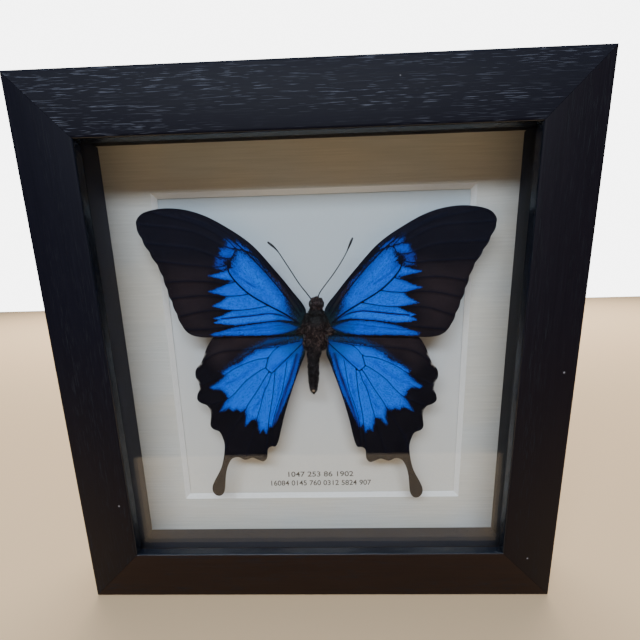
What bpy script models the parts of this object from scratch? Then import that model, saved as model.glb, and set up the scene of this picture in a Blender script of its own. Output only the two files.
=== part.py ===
"""A butterfly set in a small box frame, built in metres with +Z up.

The frame stands on its bottom rail with its glass towards -Y. The origin is the middle of its underside.
Depths in the frame are measured back from the front face; heights on the specimen from the middle of the frame.
"""
import math

import bmesh
import bpy
from mathutils import Vector

MM = 0.001
GAP = 0.3 * MM  # between pieces that touch

# The frame
FRAME_W = 160 * MM
FRAME_H = 165 * MM
FRAME_D = 30 * MM
RAIL_W = 17 * MM
LIP_D = 3.5 * MM  # thickness of the lip in front of the glass
LIP_LEAN = 0.4 * MM  # how far the lip's face slopes in towards the glass
LIP_OVERLAP = 5.7 * MM  # how far the lip reaches in over the glass
ARRIS_R = 0.9 * MM
ARRIS_STEPS = 4
MITRE_BACK = GAP / math.sqrt(2)  # each mitre is cut short by this along the rail

# What the rebate holds, from the glass back
REBATE_U = RAIL_W - LIP_OVERLAP  # from the rail's outer face to the rebate's wall
PANEL_PLAY = 0.5 * MM  # round the edge of each panel
GLASS_T = 2 * MM
SPACER_T = 2 * MM
MAT_T = 1.5 * MM
MOUNT_T = 2 * MM
BACK_T = 3 * MM
GLASS_V = LIP_D + GAP
SPACER_V = GLASS_V + GLASS_T + GAP
MAT_V = 21 * MM
MOUNT_V = MAT_V + MAT_T + GAP
BACK_V = MOUNT_V + MOUNT_T + GAP

# The window cut in the mat, a little off centre
WINDOW_W = 104.9 * MM
WINDOW_H = 110.4 * MM
WINDOW_X = 0.9 * MM
WINDOW_Z = -0.5 * MM

# The bent tabs that hold the back board
TAB_T = 0.5 * MM
TAB_W = 9 * MM
TAB_IN = 3.6 * MM  # length inside the slot
TAB_OUT = 6 * MM  # length over the board
TAB_AT = 34 * MM  # either side of each rail's middle
TAB_V = BACK_V + BACK_T + GAP

# The sawtooth hanger
HANGER_W = 40 * MM
HANGER_H = 7 * MM
HANGER_T = 0.7 * MM
HANGER_RISE = 1.3 * MM  # how far its middle stands off its ears
EAR_W = 7 * MM
TEETH = 9
TOOTH_D = 1.2 * MM
NAIL_R = 0.6 * MM
NAIL_L = 8 * MM
NAIL_HEAD_R = 1.6 * MM
NAIL_HEAD_T = 0.7 * MM
HANGER_PROUD = GAP + HANGER_T + HANGER_RISE

# The specimen
SPECIMEN_X = 0.8 * MM  # right of the frame's middle
SPECIMEN_TURN = math.radians(1.15)  # clockwise from the front
BODY_V = 15 * MM  # depth of the body's axis
FOREWING_V = 14.4 * MM  # depth of the forewings' upper face at the body
FOREWING_RISE = 0.035  # towards the glass, per metre out
HINDWING_V = 15.2 * MM
HINDWING_RISE = 0.030
WING_T = 0.4 * MM
BODY_SIDES = 20
BLOCK_W = 5 * MM
BLOCK_H = 11 * MM
BLOCK_Z = 9.5 * MM

FRONT_Y = -(FRAME_D + HANGER_PROUD) / 2
PANEL_W = FRAME_W - 2 * (REBATE_U + PANEL_PLAY)
PANEL_H = FRAME_H - 2 * (REBATE_U + PANEL_PLAY)

# Height and half width, in mm, down the body from the crown to the tip of the abdomen, with the
# half depth and the lean of its axis to the right
BODY_RINGS = [
    (20.9, 0.5, 0.5, 0.0),
    (20.5, 1.5, 1.3, 0.0),
    (19.5, 2.2, 2.0, 0.0),
    (18.2, 2.4, 2.3, 0.0),
    (17.2, 2.1, 2.1, 0.0),
    (16.5, 1.7, 1.8, 0.0),
    (15.6, 2.2, 2.3, 0.0),
    (14.0, 3.1, 3.0, 0.0),
    (11.5, 3.6, 3.3, 0.0),
    (8.5, 3.7, 3.3, -0.1),
    (6.0, 3.3, 3.0, -0.2),
    (4.2, 2.6, 2.5, -0.4),
    (2.8, 2.2, 2.2, -0.6),
    (0.5, 2.0, 2.1, -0.8),
    (-3.0, 2.0, 2.1, -0.9),
    (-6.5, 1.8, 1.9, -0.9),
    (-9.0, 1.5, 1.6, -0.9),
    (-11.0, 0.9, 1.0, -0.9),
    (-12.2, 0.3, 0.3, -0.9),
]

# Outlines of the right wings in mm, out from the body's axis and up from the frame's middle
FOREWING = [
    (3.0, 16.3),
    (7.6, 23.0),
    (12.8, 29.4),
    (19.9, 37.2),
    (26.8, 42.0),
    (34.3, 45.9),
    (41.1, 47.7),
    (48.1, 47.8),
    (53.7, 46.2),
    (55.6, 43.4),
    (54.4, 39.0),
    (52.0, 34.2),
    (49.6, 29.6),
    (47.1, 20.6),
    (43.9, 11.5),
    (41.6, 8.9),
    (38.2, 7.9),
    (30.0, 7.9),
    (15.0, 8.2),
    (4.6, 9.3),
    (4.3, 12.5),
]
HINDWING = [
    (4.6, 9.0),
    (12.0, 11.6),
    (22.0, 12.2),
    (29.0, 10.8),
    (33.8, 8.0),
    (36.4, 4.6),
    (38.9, -0.9),
    (40.9, -3.4),
    (41.2, -5.9),
    (40.3, -8.2),
    (40.2, -10.3),
    (41.1, -12.4),
    (41.2, -14.2),
    (40.0, -15.4),
    (38.0, -16.3),
    (36.9, -18.9),
    (37.3, -24.0),
    (36.3, -25.2),
    (34.4, -26.1),
    (32.9, -30.4),
    (33.0, -33.0),
    (33.6, -36.5),
    (34.7, -40.2),
    (38.3, -47.5),
    (38.2, -49.8),
    (37.1, -51.1),
    (35.6, -51.3),
    (34.2, -49.9),
    (33.0, -42.5),
    (32.0, -39.0),
    (30.4, -36.5),
    (28.2, -35.9),
    (25.8, -36.9),
    (23.0, -36.2),
    (21.0, -37.0),
    (19.2, -37.6),
    (17.9, -36.4),
    (17.3, -32.6),
    (15.9, -31.8),
    (14.8, -31.9),
    (13.9, -30.6),
    (11.4, -21.0),
    (9.0, -13.0),
    (4.9, -1.6),
    (3.6, 1.8),
    (4.0, 5.0),
]

# The feelers' routes in mm: across, up and depth behind the front face
FEELER_R = 0.2 * MM
CLUB_R = 0.45 * MM
CLUB_SHARE = 0.18  # of the feeler's length
FEELER_POINTS = 18
FEELER_LEFT = [
    (-1.7, 21.1, 14.2),
    (-5.0, 25.0, 13.6),
    (-8.6, 30.6, 13.0),
    (-12.0, 35.6, 12.7),
    (-14.7, 37.9, 12.8),
]
FEELER_RIGHT = [
    (1.0, 21.3, 14.2),
    (3.0, 24.2, 13.6),
    (6.2, 28.4, 13.0),
    (9.6, 33.8, 12.7),
    (11.9, 39.0, 12.8),
]


def material(name, colour, roughness, metallic=0.0, transmission=0.0):
    """A plain Principled material."""
    made = bpy.data.materials.new(name)
    made.use_nodes = True
    shader = made.node_tree.nodes["Principled BSDF"]
    shader.inputs["Base Color"].default_value = (*colour, 1)
    shader.inputs["Roughness"].default_value = roughness
    shader.inputs["Metallic"].default_value = metallic
    shader.inputs["Transmission Weight"].default_value = transmission
    return made


def add_object(name, data, finish, location=(0, 0, 0), turn=0.0, parent=None):
    """Links a named object, placed and turned about Y, that holds a bmesh or a curve."""
    if isinstance(data, bmesh.types.BMesh):
        bmesh.ops.recalc_face_normals(data, faces=data.faces)
        mesh = bpy.data.meshes.new(name)
        data.to_mesh(mesh)
        data.free()
        data = mesh
    data.materials.append(finish)
    made = bpy.data.objects.new(name, data)
    made.location = location
    made.rotation_euler = (0, turn, 0)
    made.parent = parent
    bpy.context.scene.collection.objects.link(made)
    return made


def smooth(made):
    """Shades a round piece smooth, with its sharp edges kept."""
    made.data.shade_smooth()
    made.data.set_sharp_from_angle(angle=math.radians(40))


def add_loft(bm, rings):
    """Adds one closed body: a skin through rings of points, with a flat cap at each end."""
    loops = [[bm.verts.new(point) for point in ring] for ring in rings]
    bm.faces.new(loops[0])
    bm.faces.new(list(reversed(loops[-1])))
    for near, far in zip(loops, loops[1:]):
        for i in range(len(near)):
            j = (i + 1) % len(near)
            bm.faces.new((near[i], far[i], far[j], near[j]))


def add_box(bm, low, high):
    """Adds a closed box between two corners."""
    corners = ((0, 0), (1, 0), (1, 1), (0, 1))
    add_loft(bm, [[(x, (low[1], high[1])[b], (low[2], high[2])[c]) for b, c in corners] for x in (low[0], high[0])])


def add_turned(bm, profile, x, z, sides=16):
    """Adds a round body about a line along Y, from (radius, y) points."""
    turns = [2 * math.pi * i / sides for i in range(sides)]
    add_loft(bm, [[(x + r * math.cos(a), y, z + r * math.sin(a)) for a in turns] for r, y in profile])


def cut(target, cutter):
    """Cuts one object out of another and leaves the cutter as a hidden guide."""
    cutter.hide_render = True
    cutter.display_type = "WIRE"
    boolean = target.modifiers.new("cut " + cutter.name, "BOOLEAN")
    boolean.operation = "DIFFERENCE"
    boolean.solver = "EXACT"
    boolean.object = cutter


def frame_sides():
    """Each side of the frame: its name, length, place and turn. A piece on a side lies along its own X,
    with the rail's outer face at Z 0, the window towards +Z and the front face at Y 0."""
    return [
        ("bottom", FRAME_W, (0, FRONT_Y, 0), 0.0),
        ("top", FRAME_W, (0, FRONT_Y, FRAME_H), math.pi),
        ("left", FRAME_H, (-FRAME_W / 2, FRONT_Y, FRAME_H / 2), math.pi / 2),
        ("right", FRAME_H, (FRAME_W / 2, FRONT_Y, FRAME_H / 2), -math.pi / 2),
    ]


def rail_section():
    """The rail's section as (in from the outer face, back from the front) points, with round front arrises."""
    turns = [math.pi / 2 * step / ARRIS_STEPS for step in range(ARRIS_STEPS + 1)]
    outer = [(ARRIS_R * (1 - math.cos(a)), ARRIS_R * (1 - math.sin(a))) for a in turns]
    inner = [(RAIL_W - ARRIS_R * (1 - math.sin(a)), ARRIS_R * (1 - math.cos(a))) for a in turns]
    behind = [(RAIL_W + LIP_LEAN, LIP_D), (REBATE_U, LIP_D), (REBATE_U, FRAME_D), (0, FRAME_D)]
    return outer + inner + behind


def make_rail(side, length, place, turn, finish):
    """One stained rail, mitred at both ends, with the lip in front and the rebate behind."""
    bm = bmesh.new()
    ends = []
    for end in (-1, 1):
        ends.append([(end * (length / 2 - u - MITRE_BACK), v, u) for u, v in rail_section()])
    add_loft(bm, ends)
    return add_object("rail_" + side, bm, finish, place, turn)


def make_spacer(side, length, place, turn, finish):
    """One strip of the black fillet that keeps the glass off the mat. The side strips fit between the others."""
    inset = REBATE_U + GAP
    half = length / 2 - inset
    if side in ("left", "right"):
        half -= SPACER_T + GAP
    bm = bmesh.new()
    add_box(bm, (-half, SPACER_V, inset), (half, MAT_V - GAP, inset + SPACER_T))
    return add_object("spacer_" + side, bm, finish, place, turn)


def make_tabs(side, place, turn, rail, finish):
    """Two thin steel tabs on one rail, each in its own slot in the rebate's wall."""
    half = TAB_W / 2
    low, high = REBATE_U - TAB_IN, REBATE_U + TAB_OUT
    nose = [(-half, low), (half, low), (half, high - half / 2), (half / 2, high), (-half / 2, high), (-half, high - half / 2)]
    slots = bmesh.new()
    for number, across in enumerate((-TAB_AT, TAB_AT), 1):
        bm = bmesh.new()
        add_loft(bm, [[(across + x, y, z) for x, z in nose] for y in (TAB_V, TAB_V + TAB_T)])
        add_object(f"tab_{side}_{number}", bm, finish, place, turn)
        corner = (across - half - GAP, TAB_V - GAP, low - GAP)
        add_box(slots, corner, (across + half + GAP, TAB_V + TAB_T + GAP, REBATE_U + GAP))
    cut(rail, add_object(f"slots_{side}", slots, finish, place, turn))


def make_panel(name, depth, thickness, finish):
    """A flat sheet that fills the rebate."""
    bm = bmesh.new()
    low = (-PANEL_W / 2, FRONT_Y + depth, (FRAME_H - PANEL_H) / 2)
    add_box(bm, low, (PANEL_W / 2, FRONT_Y + depth + thickness, (FRAME_H + PANEL_H) / 2))
    return add_object(name, bm, finish)


def make_window_mat(finish):
    """The mat: a sheet with a window whose edge slopes in at 45 degrees towards the back."""
    bm = bmesh.new()
    sheet = (PANEL_W / 2, PANEL_H / 2, 0, 0)
    loops = []
    for half_w, half_h, x, z, depth in (
        (*sheet, MAT_V),
        (WINDOW_W / 2, WINDOW_H / 2, WINDOW_X, WINDOW_Z, MAT_V),
        (WINDOW_W / 2 - MAT_T, WINDOW_H / 2 - MAT_T, WINDOW_X, WINDOW_Z, MAT_V + MAT_T),
        (*sheet, MAT_V + MAT_T),
    ):
        corners = ((-1, -1), (1, -1), (1, 1), (-1, 1))
        middle = FRAME_H / 2 + z
        loops.append([bm.verts.new((x + i * half_w, FRONT_Y + depth, middle + j * half_h)) for i, j in corners])
    for near, far in zip(loops, loops[1:] + loops[:1]):
        for i in range(4):
            j = (i + 1) % 4
            bm.faces.new((near[i], near[j], far[j], far[i]))
    return add_object("window_mat", bm, finish)


def hanger_bends():
    """Across the hanger: (x, how far it stands off, how far its lower edge is cut up) at each bend and tooth."""
    half, inner = HANGER_W / 2, HANGER_W / 2 - EAR_W
    toothed = inner - 2 * HANGER_RISE  # the bends slope at 45 degrees
    pitch = 2 * toothed / TEETH
    bends = [(-half, 0, 0), (-inner, 0, 0), (-inner + HANGER_RISE, HANGER_RISE, 0)]
    for tooth in range(TEETH):
        start = -toothed + tooth * pitch
        bends += [(start, HANGER_RISE, 0), (start + pitch / 2, HANGER_RISE, TOOTH_D)]
    bends += [(toothed, HANGER_RISE, 0), (inner - HANGER_RISE, HANGER_RISE, 0), (inner, 0, 0), (half, 0, 0)]
    return bends


def make_hanger(top_rail, finish):
    """The sawtooth hanger on the top rail's back, with a nail through each ear."""
    back = FRONT_Y + FRAME_D + GAP
    z = FRAME_H - REBATE_U / 2
    bm = bmesh.new()
    rings = []
    for x, rise, notch in hanger_bends():
        near, far = back + rise, back + rise + HANGER_T
        low, high = z - HANGER_H / 2 + notch, z + HANGER_H / 2
        rings.append([(x, near, low), (x, near, high), (x, far, high), (x, far, low)])
    add_loft(bm, rings)
    hanger = add_object("hanger", bm, finish)

    head_y = back + HANGER_T + GAP
    tip_y = head_y - NAIL_L
    nail_profile = [
        (NAIL_R / 4, tip_y),
        (NAIL_R, tip_y + 2 * NAIL_R),
        (NAIL_R, head_y),
        (NAIL_HEAD_R, head_y),
        (NAIL_HEAD_R * 0.9, head_y + NAIL_HEAD_T / 2),
        (NAIL_HEAD_R / 2, head_y + NAIL_HEAD_T),
    ]
    holes = bmesh.new()
    for number, x in enumerate((-(HANGER_W - EAR_W) / 2, (HANGER_W - EAR_W) / 2), 1):
        nail = bmesh.new()
        add_turned(nail, nail_profile, x, z)
        smooth(add_object(f"hanger_nail_{number}", nail, finish))
        add_turned(holes, [(NAIL_R + GAP, tip_y - GAP), (NAIL_R + GAP, head_y + GAP)], x, z)
    guide = add_object("nail_holes", holes, finish)
    cut(hanger, guide)
    cut(top_rail, guide)


def make_wing(name, outline, side, depth, rise, finish, specimen):
    """One wing as a thin flat plate that rises towards the glass away from the body."""
    bm = bmesh.new()
    sheets = []
    for extra in (0, WING_T):
        sheets.append([(side * x * MM, depth + extra - rise * x * MM, z * MM) for x, z in outline])
    add_loft(bm, sheets)
    add_object(name, bm, finish, parent=specimen)


def make_body(finish, specimen):
    """Head, thorax and abdomen, which grew as one."""
    bm = bmesh.new()
    turns = [2 * math.pi * i / BODY_SIDES for i in range(BODY_SIDES)]
    rings = []
    for z, half_w, half_d, lean in BODY_RINGS:
        rings.append([((lean + half_w * math.cos(a)) * MM, BODY_V + half_d * MM * math.sin(a), z * MM) for a in turns])
    add_loft(bm, rings)
    smooth(add_object("body", bm, finish, parent=specimen))


def curve_through(route, count):
    """Evenly numbered points on a smooth curve through a route's own points."""
    points = [Vector(point) for point in route]
    points = [2 * points[0] - points[1], *points, 2 * points[-1] - points[-2]]
    spans = len(points) - 3
    made = []
    for i in range(count):
        place = i / (count - 1) * spans
        k = min(int(place), spans - 1)
        t = place - k
        a, b, c, d = points[k : k + 4]
        made.append((2 * b + (c - a) * t + (2 * a - 5 * b + 4 * c - d) * t**2 + (3 * b - a - 3 * c + d) * t**3) / 2)
    return made


def make_feeler(name, route, finish, specimen):
    """One antenna: a hair-thin stalk that swells to a club."""
    curve = bpy.data.curves.new(name, "CURVE")
    curve.dimensions = "3D"
    curve.bevel_depth = FEELER_R
    curve.bevel_resolution = 1
    curve.use_fill_caps = True
    spline = curve.splines.new("POLY")
    spline.points.add(FEELER_POINTS - 1)
    for i, (x, depth, z) in enumerate((p.x, p.z, p.y) for p in curve_through(route, FEELER_POINTS)):
        along = i / (FEELER_POINTS - 1)
        club = max(0.0, (along - 1 + CLUB_SHARE) / CLUB_SHARE)
        spline.points[i].co = (x * MM, depth * MM, z * MM, 1)
        spline.points[i].radius = 1 + (CLUB_R / FEELER_R - 1) * math.sin(math.pi * min(club, 0.8) / 1.2)
    add_object(name, curve, finish, parent=specimen)


def make_specimen():
    """The butterfly, a little off square in its window, and the block that it is glued to."""
    specimen = bpy.data.objects.new("specimen", None)
    specimen.location = (SPECIMEN_X, FRONT_Y, FRAME_H / 2)
    specimen.rotation_euler = (0, SPECIMEN_TURN, 0)
    bpy.context.scene.collection.objects.link(specimen)

    hair = material("body_hair", (0.025, 0.022, 0.024), 0.9)
    scales = material("wing_scales", (0.01, 0.16, 0.55), 0.45)
    make_body(hair, specimen)
    for name, side in (("left", -1), ("right", 1)):
        make_wing("hindwing_" + name, HINDWING, side, HINDWING_V, HINDWING_RISE, scales, specimen)
        make_wing("forewing_" + name, FOREWING, side, FOREWING_V, FOREWING_RISE, scales, specimen)
    make_feeler("antenna_left", FEELER_LEFT, hair, specimen)
    make_feeler("antenna_right", FEELER_RIGHT, hair, specimen)

    foam = material("foam", (0.8, 0.8, 0.78), 0.9)
    block = bmesh.new()
    front = BODY_V + max(ring[2] for ring in BODY_RINGS) * MM + GAP
    low = (-BLOCK_W / 2, front, BLOCK_Z - BLOCK_H / 2)
    add_box(block, low, (BLOCK_W / 2, MOUNT_V - GAP, BLOCK_Z + BLOCK_H / 2))
    add_object("mounting_block", block, foam, parent=specimen)


def main():
    for old in list(bpy.data.objects):
        bpy.data.objects.remove(old, do_unlink=True)

    stain = material("black_stain", (0.012, 0.012, 0.016), 0.45)
    black = material("spacer_black", (0.014, 0.014, 0.017), 0.8)
    steel = material("zinc_steel", (0.55, 0.56, 0.58), 0.35, metallic=1.0)
    for side, length, place, turn in frame_sides():
        rail = make_rail(side, length, place, turn, stain)
        make_spacer(side, length, place, turn, black)
        make_tabs(side, place, turn, rail, steel)
        if side == "top":
            make_hanger(rail, steel)

    make_panel("glass", GLASS_V, GLASS_T, material("glass", (1, 1, 1), 0.02, transmission=1.0))
    make_window_mat(material("mat_board", (0.62, 0.62, 0.6), 0.85))
    make_panel("mount_board", MOUNT_V, MOUNT_T, material("mount_board", (0.66, 0.65, 0.62), 0.85))
    make_panel("back_board", BACK_V, BACK_T, material("back_board", (0.2, 0.13, 0.08), 0.7))
    make_specimen()


main()
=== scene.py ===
import math
import random

import bmesh
import bpy
import numpy as np
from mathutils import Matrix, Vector, noise as turbulence
from mathutils.geometry import delaunay_2d_cdt


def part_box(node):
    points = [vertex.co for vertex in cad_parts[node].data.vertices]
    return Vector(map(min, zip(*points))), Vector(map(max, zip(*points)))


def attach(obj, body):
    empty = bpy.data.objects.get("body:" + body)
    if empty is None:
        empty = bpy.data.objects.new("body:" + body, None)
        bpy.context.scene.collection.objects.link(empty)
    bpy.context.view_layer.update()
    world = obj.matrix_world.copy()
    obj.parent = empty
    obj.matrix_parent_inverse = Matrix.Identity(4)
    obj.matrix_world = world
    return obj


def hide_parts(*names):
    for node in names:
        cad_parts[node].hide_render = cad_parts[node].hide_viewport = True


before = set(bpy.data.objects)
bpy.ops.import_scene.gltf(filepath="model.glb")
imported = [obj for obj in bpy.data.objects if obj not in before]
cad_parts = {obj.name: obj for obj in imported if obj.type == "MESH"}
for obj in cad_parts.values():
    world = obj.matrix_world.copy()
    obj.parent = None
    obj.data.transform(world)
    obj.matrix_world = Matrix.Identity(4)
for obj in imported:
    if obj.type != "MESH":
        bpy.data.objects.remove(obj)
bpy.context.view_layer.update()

# ---------------------------------------------------------------------------
# The four rails. Open-grain hardwood, mitred at the corners, glued, and stained
# black by hand. The pores are painted paler, a painted glint that is strongest on the top rail,
# where the light falls. The bottom rail, and the side rails towards the foot, are painted
# warmer, a painted reflection of the warm table.
# ---------------------------------------------------------------------------

MM = 0.001
FRAME_HEIGHT = 165.0
FRONT_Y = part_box("rail_top")[0].y
LIP_FACE = 3.1 * MM  # how far the shiny inner face of the lip runs back
MITRE_START = 60 * MM  # every mitre cut lies further than this from its rail's middle
MITRE_CLOSING = 0.17 * MM


def add_object(name, data):
    """Puts a mesh, a curve, a lamp or a camera into the scene."""
    piece = bpy.data.objects.new(name, data)
    bpy.context.scene.collection.objects.link(piece)
    return piece


def pick(piece):
    """Selects one piece and nothing else."""
    bpy.ops.object.select_all(action="DESELECT")
    bpy.context.view_layer.objects.active = piece
    piece.select_set(True)


def edit_mode(piece):
    """Opens one piece in edit mode, selected all over."""
    pick(piece)
    bpy.ops.object.mode_set(mode="EDIT")
    bpy.ops.mesh.select_all(action="SELECT")


def joined_copy(node, name):
    """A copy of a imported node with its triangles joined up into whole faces."""
    piece = add_object(name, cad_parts[node].data.copy())
    piece.data.materials.clear()
    edit_mode(piece)
    bpy.ops.mesh.remove_doubles(threshold=0.01 * MM)
    bpy.ops.mesh.dissolve_limited(angle_limit=math.radians(1))
    bpy.ops.object.mode_set(mode="OBJECT")
    return piece


def finished_copy(node, name, finish, ease=0.0):
    """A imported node's own shape in its finish, with its hard edges eased."""
    piece = joined_copy(node, name)
    if ease:
        bevel = piece.modifiers.new("eased edges", "BEVEL")
        bevel.width = ease
        bevel.segments = 3
        bevel.limit_method = "ANGLE"
        bevel.angle_limit = math.radians(50)
        bevel.use_clamp_overlap = True
        bpy.ops.object.modifier_apply(modifier=bevel.name)
    bpy.ops.object.shade_smooth_by_angle(angle=math.radians(40))
    piece.data.materials.append(finish)
    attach(piece, "root")
    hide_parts(node)
    return piece


def new_finish(name, colour, roughness, specular=0.5):
    """A material with one Principled shader. Returns it with its node tree and its shader."""
    made = bpy.data.materials.new(name)
    made.use_nodes = True
    shader = made.node_tree.nodes["Principled BSDF"]
    shader.inputs["Base Color"].default_value = (*colour, 1)
    shader.inputs["Roughness"].default_value = roughness
    shader.inputs["Specular IOR Level"].default_value = specular
    return made, made.node_tree, shader


def put(tree, kind, inputs=None, **settings):
    """Adds a shader node, its inputs given as values or as other nodes' sockets."""
    node = tree.nodes.new("ShaderNode" + kind)
    for key, value in settings.items():
        setattr(node, key, value)
    for socket, value in (inputs or {}).items():
        if isinstance(value, bpy.types.NodeSocket):
            tree.links.new(value, node.inputs[socket])
        else:
            node.inputs[socket].default_value = value
    return node


def ramp(tree, factor, *stops):
    """A colour ramp from (place, value or colour) stops. Returns its colour socket."""
    node = put(tree, "ValToRGB", {"Fac": factor})
    elements = node.color_ramp.elements
    while len(elements) < len(stops):
        elements.new(1.0)
    for element, (place, colour) in zip(elements, stops):
        element.position = place
        element.color = (*colour, 1) if isinstance(colour, tuple) else (colour, colour, colour, 1)
    return node.outputs["Color"]


def stretched(tree, scale=(1, 1, 1), turn=(0, 0, 0), shift=(0, 0, 0)):
    """Object coordinates in millimetres, turned, shifted and stretched."""
    place = put(tree, "TexCoord").outputs["Object"]
    turned = put(tree, "Mapping", {0: place, "Rotation": turn, "Location": shift}).outputs[0]
    return put(tree, "Mapping", {0: turned, "Scale": tuple(s / MM for s in scale)}).outputs[0]


def height_up(tree):
    """Height above the frame's foot, in millimetres."""
    return put(tree, "SeparateXYZ", {0: stretched(tree)}).outputs["Z"]


def noise(tree, vector, scale, detail=2.0, roughness=0.5):
    """Plain fractal noise. Returns its value socket."""
    inputs = {"Vector": vector, "Scale": scale, "Detail": detail, "Roughness": roughness}
    return put(tree, "TexNoise", inputs).outputs["Fac"]


def blend_colour(tree, factor, first, second, mode="MIX"):
    """Mixes two colours or colour sockets. Returns the result's socket."""
    inputs = {0: factor, 6: first, 7: second}
    return put(tree, "Mix", inputs, data_type="RGBA", blend_type=mode).outputs[2]


def tinted(tree, colour, tint):
    """One colour times another. Returns the result's socket."""
    return blend_colour(tree, 1.0, colour, tint, "MULTIPLY")


def times(tree, first, second, plus=0.0):
    """One value times another, plus a third. Returns its socket."""
    return put(tree, "Math", {0: first, 1: second, 2: plus}, operation="MULTIPLY_ADD").outputs[0]


def feed(shader, value, socket="Base Color"):
    """Leads a pattern to a shader's colour, or to another of its sockets."""
    shader.id_data.links.new(value, shader.inputs[socket])


def raise_grain(shader, height, strength, depth):
    """Raises a pattern from the surface. Its depth is in millimetres."""
    bump = put(shader.id_data, "Bump", {"Height": height, "Strength": strength, "Distance": depth * MM})
    feed(shader, bump.outputs["Normal"], "Normal")


def black_stain(name, upright, shift, pore_glint, table_reflection):
    """Black stain over open grain that runs along the rail, with a few specks of dust, paler pores as a
    painted glint and a warmer tone as a painted reflection of the table.
    """
    made, tree, shader = new_finish(name, (0.0045, 0.0044, 0.0065), 0.5, 0.1)
    turn = (0, math.pi / 2, 0) if upright else (0, 0, 0)
    pores = noise(tree, stretched(tree, (0.1, 2.3, 2.3), turn, shift), 2.0, 1.5, 0.45)
    bands = noise(tree, stretched(tree, (0.01, 0.14, 0.14), turn, shift), 1.6, 2.0)
    fibre = noise(tree, stretched(tree, (0.05, 3.2, 3.2), turn, shift), 1.0, 4.0, 0.6)
    dash = ramp(tree, pores, (0.6, 0.0), (0.67, 1.0))
    crowd = ramp(tree, bands, (0.4, 0.06), (0.62, 1.0))
    pore = times(tree, dash, crowd)
    # Painted reflection: the stain's colour is warmed as the warm table reflects in it.
    first = (0.0028 + 0.005 * table_reflection, 0.0028 + 0.001 * table_reflection, 0.0058 - 0.003 * table_reflection, 1)
    second = (0.0065 + 0.018 * table_reflection, 0.0065 + 0.007 * table_reflection, 0.0135 - 0.004 * table_reflection, 1)
    figure = blend_colour(tree, fibre, first, second)
    if upright:
        # Painted reflection: the stain is painted warmer towards the foot, where the warm table reflects in
        # it.
        foot = ramp(tree, times(tree, height_up(tree), 1 / FRAME_HEIGHT), (0.05, 0.85), (0.6, 0.0))
        figure = blend_colour(tree, foot, figure, (0.0095, 0.0062, 0.0052, 1))
    # Painted glint: the pores are painted paler, the more so where the light falls on the rail.
    pale = (0.09 * pore_glint, 0.1 * pore_glint, 0.13 * pore_glint, 1)
    stained = blend_colour(tree, pore, figure, pale)
    specks = put(tree, "TexVoronoi", {"Vector": stretched(tree, shift=shift), "Scale": 0.085})
    dust = ramp(tree, specks.outputs["Distance"], (0.018, 0.7), (0.03, 0.0))
    feed(shader, blend_colour(tree, dust, stained, (0.3, 0.3, 0.33, 1)))
    gloss = times(tree, fibre, 0.2, 0.42)
    feed(shader, times(tree, pore, 0.2, gloss), "Roughness")
    height = times(tree, pore, -0.8, times(tree, fibre, 0.5))
    raise_grain(shader, height, 0.3, 0.1)
    return made


# The routed face of the lip is closer and shinier than the rest.
lip_stain, tree, shader = new_finish("black_stain_lip", (0.006, 0.0075, 0.012), 0.25, 0.5)
ripple = noise(tree, stretched(tree, (0.25, 0.25, 0.25)), 3.0, 4.0, 0.6)
feed(shader, ramp(tree, ripple, (0.3, (0.0035, 0.0045, 0.008)), (0.7, (0.009, 0.0115, 0.018))))
feed(shader, times(tree, ripple, 0.1, 0.18), "Roughness")
raise_grain(shader, ripple, 0.1, 0.05)
# Each rail's painted pore glint and painted table reflection are set per side.
for side, inward, shift, pore_glint, table_reflection in (
    ("top", (0, -1), (0, 0, 0), 0.8, 0.0),
    ("bottom", (0, 1), (0.31, 0.1, 0.2), 0.12, 1.0),
    ("left", (1, 0), (0.1, 0.47, 0.3), 0.16, 0.0),
    ("right", (-1, 0), (0.2, 0.3, 0.77), 0.12, 0.2),
):
    upright = inward[0] != 0
    stain = black_stain("black_stain_" + side, upright, shift, pore_glint, table_reflection)
    rail = finished_copy("rail_" + side, "stained_rail_" + side, stain)
    # Glue and stain close the mitres to a hairline.
    axis = 2 if upright else 0
    middle = sum(corner[axis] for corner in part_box("rail_" + side)) / 2
    for vertex in rail.data.vertices:
        along = vertex.co[axis] - middle
        if abs(along) > MITRE_START:
            vertex.co[axis] += math.copysign(MITRE_CLOSING, along)
    rail.data.materials.append(lip_stain)
    edit_mode(rail)
    bpy.ops.mesh.bisect(plane_co=(0, FRONT_Y + LIP_FACE, 0), plane_no=(0, 1, 0))
    bpy.ops.object.mode_set(mode="OBJECT")
    for face in rail.data.polygons:
        facing = face.normal.x * inward[0] + face.normal.z * inward[1]
        if facing > 0.7 and face.center.y < FRONT_Y + LIP_FACE:
            face.material_index = 1

# ---------------------------------------------------------------------------
# The pane. Clear float glass, 2 mm thick, cut to fill the rebate and laid against
# the back of the lip, where the black strips keep it.
# ---------------------------------------------------------------------------

clear_glass, tree, shader = new_finish("clear_float_glass", (1.0, 1.0, 1.0), 0.0)
shader.inputs["IOR"].default_value = 1.5
shader.inputs["Transmission Weight"].default_value = 1.0
# Lamp and bounced light pass straight in, as they would through so thin a pane.
ray = put(tree, "LightPath")
through = put(tree, "BsdfTransparent", {"Color": (0.95, 0.96, 0.95, 1)}).outputs[0]
lit = put(tree, "MixShader", {0: ray.outputs["Is Shadow Ray"], 1: shader.outputs[0], 2: through}).outputs[0]
both = put(tree, "MixShader", {0: ray.outputs["Is Diffuse Ray"], 1: lit, 2: through}).outputs[0]
tree.links.new(both, tree.nodes["Material Output"].inputs["Surface"])
finished_copy("glass", "glass_pane", clear_glass)

# ---------------------------------------------------------------------------
# The spacer strips. Card-faced black strips glued round the rebate, side strips
# between the other two, which keep the glass clear of the specimen.
# ---------------------------------------------------------------------------

# Painted light and shade: each strip is a lighter or darker copy of the same matt black, by how the light
# falls on its side.
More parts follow.
